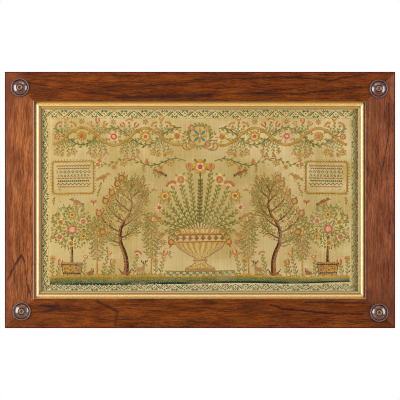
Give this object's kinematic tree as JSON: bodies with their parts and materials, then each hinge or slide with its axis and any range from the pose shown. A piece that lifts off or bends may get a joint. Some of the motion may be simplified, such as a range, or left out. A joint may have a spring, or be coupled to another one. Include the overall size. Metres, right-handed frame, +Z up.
{
  "type": "cross stitch sampler in a wall frame",
  "caption": "Wide embroidered linen sampler stretched behind a gilt slip in a mitred rosewood wall frame with turned corner bosses.",
  "frame": {"origin": "middle of the top rail's back face, where the frame lies against the wall it hangs on", "axes": "+X to the viewer's right along the top rail, +Y out of the back into the wall, +Z up; the embroidery faces -Y"},
  "size_m": [0.9, 0.0345, 0.591],
  "materials": {
    "rosewood": "French-polished rosewood, dark veins along each rail",
    "turned_rosewood": "turned and polished dark rosewood",
    "gilding": "burnished gold leaf on wood, a little worn",
    "linen": "plain-woven aged linen or wool canvas, matt",
    "embroidery_silk": "filament silk threads in faded greens, ochres, browns and coral, a soft sheen",
    "pine_board": "plain aged pine, unpolished"
  },
  "bodies": {
    "root": {"rail_left": "rosewood", "slip_left": "gilding", "rail_top": "rosewood", "slip_top": "gilding", "rail_right": "rosewood", "slip_right": "gilding", "rail_bottom": "rosewood", "slip_bottom": "gilding", "boss_top_left": "turned_rosewood", "boss_top_right": "turned_rosewood", "boss_bottom_left": "turned_rosewood", "boss_bottom_right": "turned_rosewood", "sampler_cloth": "linen", "backboard": "pine_board"}
  },
  "joints": []
}
